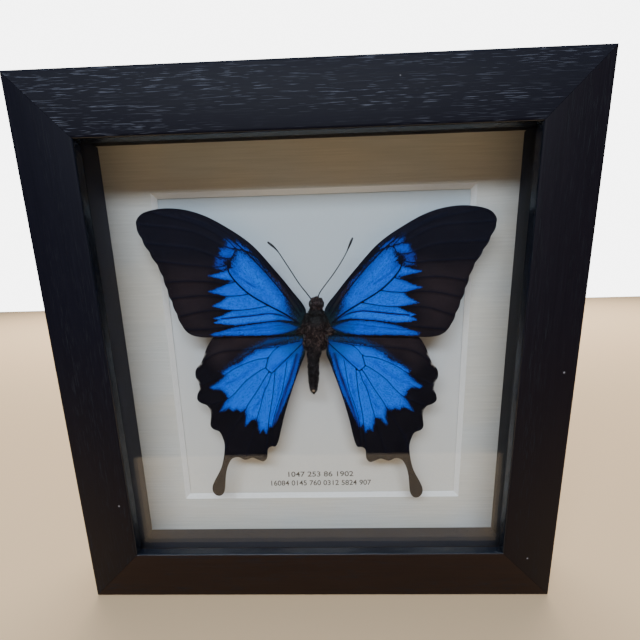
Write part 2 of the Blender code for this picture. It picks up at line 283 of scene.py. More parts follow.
for side, tone in (("top", 1.0), ("bottom", 1.1), ("left", 2.2), ("right", 0.6)):
    dark = (0.009 * tone, 0.009 * tone, 0.013 * tone)
    light = (0.02 * tone, 0.02 * tone, 0.027 * tone)
    side_lit_strip_black, tree, shader = new_finish("matt_black_strip_" + side, dark, 0.7, 0.25)
    tooth = noise(tree, stretched(tree), 5.0, 4.0, 0.7)
    feed(shader, ramp(tree, tooth, (0.3, dark), (0.75, light)))
    raise_grain(shader, tooth, 0.25, 0.05)
    finished_copy("spacer_" + side, "black_strip_" + side, side_lit_strip_black, 0.15 * MM)

# ---------------------------------------------------------------------------
# The window mat. Off-white board with a fine laid face, its window cut at 45
# degrees so that the white core shows as a narrow bright edge all round.
# ---------------------------------------------------------------------------

MAT_WINDOW = (104.9 * MM, 110.4 * MM)
MAT_WINDOW_CENTRE = (0.9 * MM, -0.5 * MM)


def select_faces(piece, wanted):
    """Selects only the faces of an edited piece that a test picks."""
    bpy.ops.mesh.select_mode(type="FACE")
    bpy.ops.mesh.select_all(action="DESELECT")
    mesh = bmesh.from_edit_mesh(piece.data)
    for face in mesh.faces:
        if wanted(face):
            face.select_set(True)
    bmesh.update_edit_mesh(piece.data)


low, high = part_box("window_mat")
middle = (low + high) / 2
bpy.ops.object.select_all(action="DESELECT")
bpy.ops.mesh.primitive_cube_add(size=1, location=middle, scale=high - low)
mat = bpy.context.object
mat.name = "bevelled_mat"
bpy.ops.object.transform_apply(location=True, rotation=True, scale=True)
window_middle = Vector((MAT_WINDOW_CENTRE[0], low.y, middle.z + MAT_WINDOW_CENTRE[1]))
edit_mode(mat)
for axis in (0, 2):
    for way in (-1, 1):
        # Cut along the slope of the bevel, from the front face in towards the back.
        half = MAT_WINDOW[axis // 2] / 2
        point = window_middle.copy()
        point[axis] += way * half
        normal = Vector((0, 1, 0))
        normal[axis] = way
        bpy.ops.mesh.select_all(action="SELECT")
        bpy.ops.mesh.bisect(plane_co=point, plane_no=normal)
bpy.ops.object.mode_set(mode="OBJECT")


def in_window(point):
    """Whether a point of the mat lies inside its bevelled window."""
    depth = point.y - low.y
    across, up = abs(point.x - window_middle.x), abs(point.z - window_middle.z)
    return across + depth < MAT_WINDOW[0] / 2 and up + depth < MAT_WINDOW[1] / 2


edit_mode(mat)
select_faces(mat, lambda face: abs(face.normal.y) > 0.9 and in_window(face.calc_center_median()))
bpy.ops.mesh.delete(type="FACE")
bpy.ops.mesh.select_mode(type="EDGE")
bpy.ops.mesh.select_all(action="DESELECT")
mesh = bmesh.from_edit_mesh(mat.data)
for edge in mesh.edges:
    if edge.is_boundary:
        edge.select_set(True)
bmesh.update_edit_mesh(mat.data)
bpy.ops.mesh.bridge_edge_loops()
bpy.ops.mesh.select_mode(type="FACE")
bpy.ops.mesh.select_all(action="SELECT")
bpy.ops.mesh.dissolve_limited(angle_limit=math.radians(1))
bpy.ops.mesh.select_all(action="SELECT")
bpy.ops.mesh.normals_make_consistent(inside=False)
bpy.ops.object.mode_set(mode="OBJECT")

mat_face, tree, shader = new_finish("laid_mat_board", (0.68, 0.665, 0.62), 0.85, 0.25)
laid = noise(tree, stretched(tree, (0.05, 1.0, 1.7)), 1.0, 2.0, 0.55)
tooth = noise(tree, stretched(tree), 3.0, 5.0, 0.65)
grain = times(tree, tooth, 0.4, laid)
shade = ramp(tree, grain, (0.45, (0.58, 0.57, 0.535)), (0.95, (0.675, 0.66, 0.62)))
cloud = noise(tree, stretched(tree, (0.03, 0.03, 0.05)), 1.0, 2.0)
cool = ramp(tree, cloud, (0.4, (1.0, 0.99, 0.96)), (0.6, (0.95, 0.985, 1.02)))
feed(shader, tinted(tree, shade, cool))
raise_grain(shader, grain, 0.22, 0.06)
mat_core, tree, shader = new_finish("white_mat_core", (0.84, 0.84, 0.83), 0.8, 0.2)
layers = noise(tree, stretched(tree, (0.4, 6, 0.4)), 1.5, 3.0)
feed(shader, ramp(tree, layers, (0.3, (0.79, 0.79, 0.78)), (0.7, (0.88, 0.88, 0.87))))
mat.data.materials.append(mat_face)
mat.data.materials.append(mat_core)
for face in mat.data.polygons:
    face.material_index = 1 if 0.5 < abs(face.normal.y) < 0.9 else 0
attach(mat, "root")
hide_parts("window_mat")

# ---------------------------------------------------------------------------
# The mounting card and its caption. Ivory card fills the rebate behind the mat.
# Under the specimen it is printed with two short rows of plain catalogue digits.
# ---------------------------------------------------------------------------

card_face, tree, shader = new_finish("ivory_card", (0.66, 0.69, 0.7), 0.85, 0.25)
tooth = noise(tree, stretched(tree), 2.2, 6.0, 0.7)
cloud = noise(tree, stretched(tree, (0.03, 0.03, 0.03)), 1.0, 2.0)
paper = ramp(tree, tooth, (0.3, (0.62, 0.645, 0.66)), (0.7, (0.69, 0.72, 0.735)))
clouded = blend_colour(tree, times(tree, cloud, 0.25), paper, (0.66, 0.66, 0.64, 1))
# Painted light: the card is tinted warm towards the foot, where warm light bounces up from the table, and
# cool towards the top, under the cool light from above.
share_up = times(tree, height_up(tree), 1 / FRAME_HEIGHT)
warm_bounce_tint, grey, cool = (1.0, 0.95, 0.88), (0.93, 0.92, 0.92), (0.85, 0.93, 0.99)
painted_light_tint = ramp(tree, share_up, (0.2, warm_bounce_tint), (0.5, grey), (0.72, cool))
feed(shader, tinted(tree, clouded, painted_light_tint))
raise_grain(shader, tooth, 0.15, 0.05)
finished_copy("mount_board", "mounting_card", card_face)

ink, tree, shader = new_finish("grey_print", (0.06, 0.055, 0.055), 0.8, 0.2)
worn = noise(tree, stretched(tree), 4.0, 3.0, 0.7)
feed(shader, ramp(tree, worn, (0.3, (0.03, 0.028, 0.028)), (0.7, (0.07, 0.065, 0.062))))
card_low, card_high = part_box("mount_board")
card_middle = (card_low + card_high) / 2
for name, digits, width, drop in (
    ("caption_digits_upper", "1047 253 86 1902", 25.0 * MM, 47.7 * MM),
    ("caption_digits_lower", "16084 0145 760 0312 5824 907", 38.6 * MM, 51.4 * MM),
):
    bpy.ops.object.text_add(location=(0, 0, 0), rotation=(math.pi / 2, 0, 0))
    caption = bpy.context.object
    caption.name = name
    caption.data.body = digits
    caption.data.align_x = "CENTER"
    caption.data.size = 3.0 * MM
    caption.data.offset = 0.035 * MM
    caption.data.extrude = 0.01 * MM
    bpy.ops.object.convert(target="MESH")
    caption = bpy.context.object
    caption.scale.x = width / caption.dimensions.x
    caption.location = (card_middle.x + 0.8 * MM, card_low.y - 0.012 * MM, card_middle.z - drop)
    bpy.ops.object.transform_apply(location=True, rotation=True, scale=True)
    caption.data.materials.append(ink)
    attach(caption, "root")

# ---------------------------------------------------------------------------
# The foam block. A small block of white foam, glued to the card behind the body.
# It carries the specimen, which is glued to it, clear of the card.
# ---------------------------------------------------------------------------

foam, tree, shader = new_finish("white_foam", (0.72, 0.72, 0.7), 0.9, 0.2)
cells = put(tree, "TexVoronoi", {"Vector": stretched(tree), "Scale": 2.6})
skin = ramp(tree, cells.outputs["Distance"], (0.0, (0.62, 0.62, 0.6)), (0.5, (0.76, 0.76, 0.74)))
feed(shader, skin)
raise_grain(shader, cells.outputs["Distance"], 0.4, 0.1)
finished_copy("mounting_block", "foam_mounting_block", foam, 0.3 * MM)

# ---------------------------------------------------------------------------
# The four wings. Membrane on branching veins, covered in scales: velvet black with
# a blue fan from each root that breaks into feathered points along the veins. The
# specimen was set flat to dry, then turned very slightly when it was glued down.
# ---------------------------------------------------------------------------

SPECIMEN_X = 0.8
SPECIMEN_TURN = math.radians(1.15)
MIDDLE_Z = (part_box("rail_left")[0].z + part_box("rail_left")[1].z) / 2
MEMBRANE = 0.12
VEIN_RISE = 0.14
VEIN_SPREAD = 0.22
MEMBRANE_SAG = 0.10
SAG_SPREAD = 1.4
FOLD_DROP = 0.10
SCALLOP_STEP = 3.9
ROOT_CALM = 15  # nearer to the root or to the rim than this, the pattern drifts less
RIM_CALM = 6
FLECK_SIZE = 0.9

# Lines and patches are in mm, out from the body and up from the middle of the frame. A vein
# has its width, a fold its width and depth, a blue patch the softness of its edge and how dark
# it is, and the plum and haze clouds their softness.
FOREWING = {
    "veins": [
        (0.5, [
            (5.5, 12.4), (10, 15.3), (15.6, 18.2), (21.9, 22), (26.3, 26.2), (28.3, 29.4), (28.2, 31.5),
        ]),
        (1.3, [(28.0, 30.7), (28.0, 31.3), (27.9, 31.9)]),
        (0.36, [(28.2, 31.5), (26.6, 33.9), (25.3, 35.6), (21, 34.9), (16, 31)]),
        (0.26, [(15.7, 18.3), (20, 17.5), (25, 16.9), (31, 17), (38, 16.5), (45.4, 14.6)]),
        (0.26, [(21.9, 22.1), (25, 21.6), (28.7, 21.4), (38, 21.6), (47.3, 20.5)]),
        (0.26, [(26.2, 26.1), (28, 25.5), (32, 25.8), (40, 26.3), (48.7, 25.7)]),
        (0.3, [(28.2, 31.5), (31, 30.6), (38, 31.1), (51.3, 32.5)]),
        (0.28, [(27.3, 33.2), (30.5, 33.4), (38, 36), (53.5, 37.9)]),
        (0.28, [(25.6, 35.9), (28.8, 36.8), (38, 41.2), (54.9, 43.4)]),
        (0.28, [(25.3, 36.1), (27.8, 38.6), (36, 43.2), (50, 46.8)]),
        (0.4, [(5, 14.6), (11, 22.6), (18, 30.8), (25, 37.6), (33, 42.8), (41, 45.8)]),
        (0.4, [(4.4, 16.1), (9.5, 23.5), (16.3, 31.6), (24, 38.6), (32, 43.6)]),
        (0.28, [(5.5, 12.2), (9, 13), (12.5, 13.2), (20, 12.5), (27, 11.5), (35, 10.7), (42.6, 10.3)]),
    ],
    "folds": [
        (0.32, 1.25, [(8.5, 13.9), (12, 15.1), (16, 15.6), (20, 15.2), (26, 14.6), (31.5, 14.1)]),
        (0.5, 0.35, [(13, 16.2), (20, 16.4), (27, 15.6)]),
        (0.5, 0.6, [(27.6, 30.6), (26.2, 28.6), (23.5, 26.4), (20, 24.2)]),
        (0.8, 0.3, [(15, 20.5), (20, 25.2), (24, 29), (26, 30.2)]),
        (0.3, 0.35, [(8, 11.9), (14, 11.5), (22, 10.5), (29, 9.9)]),
        (0.7, 0.2, [(7, 11.4), (12, 10.6), (20, 10.2)]),
    ],
    "blue": [
        (1.3, 0.0, [
            (25, 35.5), (21.4, 34.2), (19.3, 32.2), (17.4, 30.1), (15.6, 28), (13.1, 25.2), (11.2, 22.3),
            (9.6, 19.5), (8.1, 16.7), (6.1, 13.9), (7.5, 12.6), (10.4, 14.2), (16.1, 17.2), (22.5, 21.1),
            (27.1, 25.4), (28.7, 28.7), (28.6, 29.9), (27.1, 30.8), (26.2, 33.2),
        ]),
        (0.3, 0.2, [(27.8, 29.7), (31, 28.8), (34.8, 27.9), (31, 26.9), (26.2, 26.2)]),
        (0.3, 0.3, [
            (25.9, 26.5), (28.2, 25.6), (31.5, 24.1), (35.2, 22.9), (31.2, 21.9), (28.6, 21.1),
            (21.5, 21.6),
        ]),
        (0.3, 0.15, [
            (21.5, 22.3), (28.8, 21.6), (31.2, 19.7), (34.5, 18.1), (31, 17.5), (27, 16.5), (20, 17.1),
            (15.4, 17.9),
        ]),
        (0.3, 0.0, [
            (15.4, 18.6), (20, 17.8), (25, 17.2), (28, 16.6), (31, 15.2), (33.8, 14.3), (32, 13.7),
            (34, 12.7), (31.5, 12.3), (27, 12.0), (20, 12.8), (12, 13.4), (6.6, 12.5), (8, 13.9),
            (10, 15.3),
        ]),
        (0.35, 0.3, [
            (34.8, 8.9), (30, 10.2), (27, 11.2), (20, 12.3), (12, 13.0), (8.6, 12.4), (6.2, 11.6),
            (5, 10.8), (7, 9.8), (10, 8.9), (15, 8.5), (25, 8.4), (33.4, 8.4),
        ]),
        (0.9, 0.5, [(25.2, 38), (22.5, 36.7), (20.8, 35.2), (23.5, 35.5), (24.8, 36.2)]),
        (0.9, 0.5, [(28.4, 39.2), (25.4, 37.5), (25, 36), (27.4, 36.3), (28.2, 37.2)]),
        (0.8, 0.4, [(30.6, 35.8), (27.9, 36.4), (25.2, 35.4), (26.6, 33.9), (28.5, 33.4), (31, 33.9)]),
        (1.2, 0.7, [(31.8, 33.3), (29.4, 32.9), (29.9, 31.8), (32.2, 30.5)]),
        (0.8, 0.5, [(30.4, 31.4), (29, 30.8), (29.8, 29.9), (31.7, 30.2)]),
    ],
    "plum": [
        (4.5, [
            (34, 30), (49, 30), (47, 20), (44, 11.5), (41, 8.6), (31, 8.4), (35, 14), (33, 20), (34, 25),
        ]),
        (0.6, [(5.4, 17.4), (7.0, 17.6), (11.4, 23.6), (15, 28.2), (14.0, 29), (9.4, 23.9), (5.5, 18.6)]),
    ],
    "haze": [],
}
HINDWING = {
    "veins": [
        (0.2, [(4.2, 6.4), (8.5, 5.6), (12.4, 4.5), (15.6, 3.9), (24, 3.4), (33, 2.4), (38, -0.2)]),
        (0.22, [
            (12.4, 4.5), (14.8, 2.6), (16.5, 0.6), (20, -0.1), (23.1, -1), (28.1, -3.2), (31.6, -5.4),
            (40.2, -8.8),
        ]),
        (0.32, [
            (4, 5.9), (9.8, 0.4), (15.1, -4.6), (15.5, -4.9), (15.9, -4.6), (17.4, -3.2), (17.4, -2.8),
            (16.9, -1), (16.4, 0.4),
        ]),
        (0.24, [(17.4, -3.0), (19.1, -3.8), (24.4, -7.6), (28.1, -11.6), (30.9, -13.9), (38.4, -16.2)]),
        (0.26, [
            (16.3, -4.3), (17.5, -6), (20.6, -11), (24.4, -16.6), (25.3, -18.5), (31, -27.5), (33.6, -36),
        ]),
        (0.24, [(15.6, -4.9), (16.8, -8.5), (18.1, -11), (20, -17.3), (21.3, -21.6), (25.5, -36)]),
        (0.26, [(14.3, -3.9), (15.3, -12.3), (16.9, -21), (17.3, -25), (18.2, -36.2)]),
        (0.22, [(10, -0.9), (11.9, -11), (14.4, -18.5), (15.6, -23.5), (15.9, -31.3)]),
    ],
    "folds": [
        (0.8, 0.85, [(6.4, 1.5), (8.2, -4.5), (10.2, -10), (13.4, -19), (15, -24)]),
        (0.5, 0.35, [(12.5, -6), (13.6, -13), (16, -22)]),
        (0.5, 0.35, [(17.6, -8), (19.3, -13.6), (22.6, -18.5)]),
        (0.6, 0.35, [(20.5, -1.9), (26.5, -6.5), (32.5, -9.3)]),
        (0.9, 0.4, [(8, 1.5), (12, -1.5), (15, -3.2)]),
    ],
    "blue": [
        (0.55, 0.1, [
            (4.2, 7.2), (8, 5.9), (12.5, 4.8), (16.5, 4.1), (20, 3.1), (23.4, 1.2), (26.3, -1.3),
            (29.7, -2.6), (32.4, -4.8), (31.4, -5.6), (33.4, -7.6), (36.5, -9.8), (35.6, -10.5),
            (33.7, -10.4), (32.3, -11.3), (31.4, -12.9), (30.9, -13.9), (31.9, -15.4), (34, -18.7),
            (31, -17.4), (29.6, -18.5), (28.2, -17.9), (26.9, -18.8), (25.2, -17.9), (24.9, -20.4),
            (25.5, -24.3), (23.4, -21.9), (22.2, -21.6), (21.2, -21.8), (20.9, -22.9), (20.6, -26.6),
            (19.3, -25.4), (18, -26.9), (17.2, -24.4), (16.6, -24), (15.6, -24.6), (14.6, -22.8),
            (13.4, -20.6), (11.3, -16.2), (8.8, -10.6), (6.9, -4.8), (5.3, 0.6), (3.9, 4),
        ]),
    ],
    "plum": [
        (3.0, [
            (6, 9.5), (14, 6.5), (22, 4), (28, 0.5), (33, -2.5), (36.5, 1), (34, 7.6), (28, 10.6), (20, 12),
            (10, 11.2),
        ]),
    ],
    "haze": [
        (2.2, [
            (4.6, 8.8), (9, 9), (16, 8.2), (23, 4.6), (27.5, 0.6), (31, -1.6), (33.5, -4), (30, -3),
            (24, 0.5), (20, 3.1), (12.5, 4.8), (4.5, 6.6),
        ]),
    ],
}
# White flecks sit in the fringe between the scallops.
FRINGE_FLECKS = np.array([
    (37.5, 1.4), (39.2, -1.8), (40.4, -7.4), (39.8, -9.9), (37.6, -18.2), (24.9, -33.4), (19.5, -36.0),
])


def between(first, second, start, end, t):
    """Where a point is at time t on its way from one place to another."""
    return ((end - t) * first + (t - start) * second) / (end - start)


def even_line(points, step, closed=False):
    """Points at an even step along a smooth curve that passes through the given ones."""
    points = np.array(points, float)
    count = len(points)
    spans = count if closed else count - 1
    track = []
    for i in range(spans):
        if closed:
            a, b, c, d = (points[(i + k) % count] for k in (-1, 0, 1, 2))
        else:
            b, c = points[i], points[i + 1]
            a = points[i - 1] if i else 2 * b - c
            d = points[i + 2] if i + 2 < count else 2 * c - b
        hops = [max(np.linalg.norm(q - p), 1e-6) ** 0.5 for p, q in ((a, b), (b, c), (c, d))]
        ta, tb, tc, td = np.cumsum([0.0] + hops)
        t = np.linspace(tb, tc, 24, endpoint=False)[:, None]
        ab, bc, cd = between(a, b, ta, tb, t), between(b, c, tb, tc, t), between(c, d, tc, td, t)
        track.extend(between(between(ab, bc, ta, tc, t), between(bc, cd, tb, td, t), tb, tc, t))
    track.append(points[0] if closed else points[-1])
    track = np.array(track)
    run = np.concatenate([[0], np.cumsum(np.linalg.norm(np.diff(track, axis=0), axis=1))])
    steps = max(2, round(run[-1] / step))
    marks = np.linspace(0, run[-1], steps + 1)
    if closed:
        marks = marks[:-1]
    return np.stack([np.interp(marks, run, track[:, k]) for k in range(track.shape[1])], axis=1)


def reach(points, line, closed=False):
    """How far each point is from a line of points."""
    starts = line if closed else line[:-1]
    ends = np.roll(line, -1, axis=0) if closed else line[1:]
    best = np.full(len(points), 1e9)
    for start, end in zip(starts, ends):
        along = end - start
        share = np.clip((points - start) @ along / max(along @ along, 1e-12), 0, 1)
        best = np.minimum(best, np.linalg.norm(points - start - share[:, None] * along, axis=1))
    return best


def inside(points, ring):
    """Which points lie inside a closed ring."""
    held = np.zeros(len(points), bool)
    x, z = points[:, 0], points[:, 1]
    for (x1, z1), (x2, z2) in zip(ring, np.roll(ring, -1, axis=0)):
        if z1 != z2:
            crossed = (z1 > z) != (z2 > z)
            held ^= crossed & (x < (x2 - x1) * (z - z1) / (z2 - z1) + x1)
    return held


def depth_inside(points, ring):
    """How far each point lies inside a closed ring, and below zero outside it."""
    ring = np.array(ring, float)
    return reach(points, ring, True) * np.where(inside(points, ring), 1, -1)


def to_world(points, depth):
    """Points on the specimen, in mm and measured from the frame's front, in the frame's own metres."""
    across = SPECIMEN_X + points[:, 0] * math.cos(SPECIMEN_TURN) + points[:, 1] * math.sin(SPECIMEN_TURN)
    up = points[:, 1] * math.cos(SPECIMEN_TURN) - points[:, 0] * math.sin(SPECIMEN_TURN)
    back = FRONT_Y + np.full(len(points), 1.0) * depth * MM
    return np.stack([across * MM, back, MIDDLE_Z + up * MM], axis=1)


def packed_outline(node, side):
    """A packed wing's outline and the depth of its face, in specimen mm with the body at x = 0."""
    piece = joined_copy(node, "pattern_" + node)
    face = max(piece.data.polygons, key=lambda f: -f.normal.y * f.area)
    corners = np.array([piece.data.vertices[i].co[:] for i in face.vertices])
    bpy.data.objects.remove(piece)
    x = corners[:, 0] / MM - SPECIMEN_X
    z = (corners[:, 2] - MIDDLE_Z) / MM
    out = side * (x * math.cos(SPECIMEN_TURN) - z * math.sin(SPECIMEN_TURN))
    up = x * math.sin(SPECIMEN_TURN) + z * math.cos(SPECIMEN_TURN)
    depth = (corners[:, 1] - FRONT_Y) / MM
    far, near = out.argmax(), out.argmin()
    rise = (depth[near] - depth[far]) / (out[far] - out[near])
    return np.stack([out, up], axis=1), depth[near] + rise * out[near], rise


def keep_values(mesh, label, values):
    """Keeps a number on each point of a mesh, for its finish to read."""
    layer = mesh.attributes.new(label, "FLOAT", "POINT")
    layer.data.foreach_set("value", np.array(values, np.float32))


def face_outwards(piece):
    """Recalculates a piece's normals."""
    edit_mode(piece)
    bpy.ops.mesh.normals_make_consistent(inside=False)
    bpy.ops.object.mode_set(mode="OBJECT")


def make_wing(node, name, side, root, pattern, scallop, drift):
    """One wing: a thin sheet with raised veins, with its pattern kept as values on its points."""
    grain = 0.4

    def drifted(line):
        """No two wings carry the pattern alike. It drifts in mid-wing, not at the root or the rim."""
        line = np.array(line, float)
        share = np.clip(np.linalg.norm(line - root, axis=1) / ROOT_CALM, 0, 1)
        share *= np.clip(reach(line, rim, True) / RIM_CALM, 0, 1)
        return line + share[:, None] * drift

    outline, base_depth, rise = packed_outline(node, side)
    rim = even_line(outline, grain, closed=True)
    out, up = rim.T
    outer = np.clip((out - 42) / 3, 0, 1) * np.clip((up - 10) / 3, 0, 1) * np.clip((45 - up) / 3, 0, 1)
    rim[:, 0] -= scallop * outer * (1 - np.abs(np.sin(math.pi * up / SCALLOP_STEP)))
    lines = [even_line(drifted(points), grain) for _, points in pattern["veins"]]
    lines = [line[inside(line, rim) & (reach(line, rim, True) > 0.25)] for line in lines]
    low, high = rim.min(axis=0), rim.max(axis=0)
    columns, rows = np.meshgrid(np.arange(low[0], high[0], grain), np.arange(low[1], high[1], grain * 0.87))
    columns[1::2] += grain / 2
    field = np.stack([columns.ravel(), rows.ravel()], axis=1)
    field = field[inside(field, rim) & (reach(field, rim, True) > grain * 0.5)]
    for line in lines:
        field = field[reach(field, line) > grain * 0.45]
    corners = [Vector(p) for p in np.concatenate([rim, *lines, field])]
    seams = []
    start = len(rim)
    for line in lines:
        seams += [(start + i, start + i + 1) for i in range(len(line) - 1)]
        start += len(line)
    made = delaunay_2d_cdt(corners, seams, [list(range(len(rim)))], 1, 1e-5)
    points = np.array([tuple(p) for p in made[0]])

    # Each vein stands proud of the membrane, which sags a little between veins.
    nearest = np.full(len(points), 1e9)
    for (width, _), line in zip(pattern["veins"], lines):
        distance = reach(points, line)
        nearest = np.minimum(nearest, distance - width / 2)
    fold = np.zeros(len(points))
    for width, depth, line in pattern["folds"]:
        distance = reach(points, even_line(drifted(line), 0.6))
        fold = np.maximum(fold, depth * np.exp(-((distance / width) ** 2)))
    margin = reach(points, rim, True)
    blue = np.full(len(points), -9.0)
    tone = np.zeros(len(points))
    for soft, deep, ring in pattern["blue"]:
        cover = depth_inside(points, drifted(ring)) / soft
        tone[cover > blue] = deep
        blue = np.maximum(blue, cover)
    clouds = {}
    for label in ("plum", "haze"):
        clouds[label] = np.zeros(len(points))
        for soft, ring in pattern[label]:
            cover = np.clip(0.5 + depth_inside(points, ring) / (2 * soft), 0, 1)
            clouds[label] = np.maximum(clouds[label], cover)
    x, z = points[:, 0], points[:, 1]
    off_vein = nearest.clip(0)
    relief = VEIN_RISE * np.exp(-((off_vein / VEIN_SPREAD) ** 2))
    relief -= MEMBRANE_SAG * (1 - np.exp(-off_vein / SAG_SPREAD))
    buckle = 0.12 * np.sin(x * 0.23 + z * 0.11) + 0.05 * np.sin(z * 0.45 - x * 0.17 + 2)
    relief += buckle - FOLD_DROP * fold
    relief *= np.clip(margin / 0.8, 0.3, 1)
    depth = base_depth - rise * x - relief + 0.1
    mesh = bpy.data.meshes.new(name)
    world = to_world(points * (side, 1), depth)
    faces = [tuple(face) for face in made[2]]
    mesh.from_pydata(world.tolist(), [], faces)
    sheet = add_object(name, mesh)
    radius = np.hypot(x - root[0], z - root[1])
    angle = np.arctan2(z - root[1], x - root[0])
    flow = np.stack([angle * 24.0, radius, np.zeros(len(points))], axis=1)
    spot = np.linalg.norm(points[:, None] - FRINGE_FLECKS[None], axis=2).min(axis=1)
    fringe = np.exp(-((spot / FLECK_SIZE) ** 2)) * (margin < 0.35)
    kept = {"blue": blue, "tone": tone, "vein": nearest, "fold": fold, "from_root": radius}
    for label, values in {**kept, **clouds, "fringe": fringe}.items():
        keep_values(mesh, label, values)
    layer = mesh.attributes.new("flow", "FLOAT_VECTOR", "POINT")
    layer.data.foreach_set("vector", flow.astype(np.float32).ravel())
    face_outwards(sheet)
    if sum(face.normal.y * face.area for face in mesh.polygons) > 0:
        edit_mode(sheet)
        bpy.ops.mesh.flip_normals()
        bpy.ops.object.mode_set(mode="OBJECT")
    wall = sheet.modifiers.new("membrane", "SOLIDIFY")
    wall.thickness = MEMBRANE * MM
    wall.offset = -1
    bpy.ops.object.modifier_apply(modifier=wall.name)
    bpy.ops.object.shade_smooth_by_angle(angle=math.radians(50))
    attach(sheet, "root")
    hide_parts(node)
    return sheet


def value_of(tree, label, output="Fac"):
    """Reads one of a wing's own values."""
    return put(tree, "Attribute", attribute_name=label).outputs[output]


def scaled_wing(name, shift, torn):
    """Black velvet scales with the blue fan, its veins and its dusted edges."""
    made, tree, shader = new_finish(name, (0.004, 0.004, 0.007), 0.7, 0.08)
    flow = value_of(tree, "flow", "Vector")
    rays = put(tree, "Mapping", {0: flow, "Location": (shift, 0, 0), "Scale": (2.4, 0.22, 1)}).outputs[0]
    streak = noise(tree, rays, 1.0, 3.0, 0.65)
    threads = put(tree, "Mapping", {0: flow, "Location": (0, shift, 0), "Scale": (7.0, 0.8, 1)}).outputs[0]
    hairline = noise(tree, threads, 1.0, 2.0, 0.6)
    rows = noise(tree, stretched(tree, (3.4, 3.4, 3.4)), 1.0, 3.0, 0.65)
    cloud = noise(tree, stretched(tree, (0.12, 0.12, 0.12)), 1.0, 3.0, 0.5)
    near_root = ramp(tree, times(tree, value_of(tree, "from_root"), 1 / 30), (0.06, 1.0), (0.34, 0.0))

    # Where the blue stops it thins to single scales, streaked along the rays and speckled.
    frayed = times(tree, streak, 3.4, times(tree, value_of(tree, "blue"), 1.0, -0.5 * 3.4))
    frayed = times(tree, rows, 4.5, times(tree, frayed, 1.0, -0.5 * 4.5))
    bare = times(tree, hairline, 9.0 * torn, -6.0 * torn)
    frayed = times(tree, near_root, bare, frayed)
    ragged = times(tree, rows, 7.0, -0.55 * 7.0)
    frayed = times(tree, value_of(tree, "haze"), ragged, frayed)
    covered = ramp(tree, times(tree, frayed, 0.25, 0.5), (0.38, 0.0), (0.6, 1.0))
    deep = times(tree, streak, 1.1, times(tree, value_of(tree, "tone"), 1.0, -0.48))
    deep = times(tree, value_of(tree, "fold"), 1.0, deep)
    shade = ramp(
        tree,
        deep,
        (0.0, (0.0, 0.17, 1.0)),
        (0.45, (0.0, 0.115, 0.82)),
        (0.8, (0.012, 0.04, 0.4)),
        (1.0, (0.006, 0.01, 0.07)),
    )
    teal = blend_colour(tree, times(tree, near_root, 0.9), shade, (0.001, 0.035, 0.05, 1))
    speck = ramp(tree, rows, (0.28, 0.35), (0.5, 1.0))
    drawn = ramp(tree, hairline, (0.3, 0.45), (0.48, 1.0))
    scales = tinted(tree, tinted(tree, teal, speck), drawn)
    # The outermost blue scales are sparser and more violet.
    edge = ramp(tree, times(tree, frayed, 0.2, 0.4), (0.4, 0.75), (0.95, 0.0))
    scales = blend_colour(tree, edge, scales, (0.01, 0.035, 0.34, 1))
    velvet = ramp(tree, cloud, (0.3, (0.0018, 0.0017, 0.003)), (0.7, (0.0042, 0.0036, 0.0055)))
    mixed = times(tree, rows, 0.5, times(tree, cloud, 0.5))
    plum = ramp(tree, mixed, (0.35, (0.01, 0.0068, 0.0085)), (0.65, (0.023, 0.0165, 0.019)))
    away = ramp(tree, value_of(tree, "vein"), (0.0, 0.45), (0.9, 1.0))
    soft = times(tree, value_of(tree, "plum"), away)
    ground = blend_colour(tree, soft, velvet, plum)
    dust = times(tree, rows, 1.6, times(tree, value_of(tree, "haze"), 0.9, -1.05))
    dusted = ramp(tree, dust, (0.35, 0.0), (0.62, 0.75))
    ground = blend_colour(tree, dusted, ground, (0.003, 0.05, 0.26, 1))
    # Sparse teal scales run down to the root in threads.
    touch = ramp(tree, times(tree, value_of(tree, "blue"), 0.2, 1.0), (0.0, 0.0), (0.7, 1.0))
    thread = ramp(tree, hairline, (0.46, 0.0), (0.62, 0.9))
    thread = times(tree, thread, times(tree, near_root, touch))
    ground = blend_colour(tree, thread, ground, (0.009, 0.045, 0.055, 1))
    surface = blend_colour(tree, covered, ground, scales)
    line = ramp(tree, times(tree, value_of(tree, "vein"), 2.0, 0.5), (0.4, 1.0), (0.6, 0.0))
    lined = blend_colour(tree, line, surface, (0.0018, 0.003, 0.009, 1))
    fringe = times(tree, value_of(tree, "fringe"), 0.8)
    feed(shader, blend_colour(tree, fringe, lined, (0.5, 0.47, 0.44, 1)))
    shader.inputs["Specular Tint"].default_value = (0.45, 0.45, 0.75, 1)
    height = times(tree, rows, 0.5, times(tree, streak, 0.5))
    raise_grain(shader, height, 0.3, 0.08)
    return made


for side, label, fore_drift, hind_drift in (
    (-1, "left", (-0.65, -0.2), (-0.4, 0.1)),
    (1, "right", (-1.05, 0.8), (-0.75, 0.9)),
):
    for kind, root, pattern, scallop, drift, shift, torn in (
        ("forewing", (4.5, 12.0), FOREWING, 0.35, fore_drift, 7.0, 1.0),
        ("hindwing", (4.2, 7.2), HINDWING, 0.0, hind_drift, 19.0, 0.4),
    ):
        wing = make_wing(f"{kind}_{label}", f"scaled_{kind}_{label}", side, root, pattern, scallop, drift)
        wing.data.materials.append(scaled_wing(f"{kind}_scales_{label}", side * shift, torn))

# ---------------------------------------------------------------------------
# The body. Head, thorax and abdomen of dried chitin under a coat of short dark
# down, with bare beaded eyes, collar lobes, and shoulder plates over the wing roots.
# ---------------------------------------------------------------------------

BODY_DEPTH = 15.0
TAIL_X, TAIL_Z = -0.8, -12.4


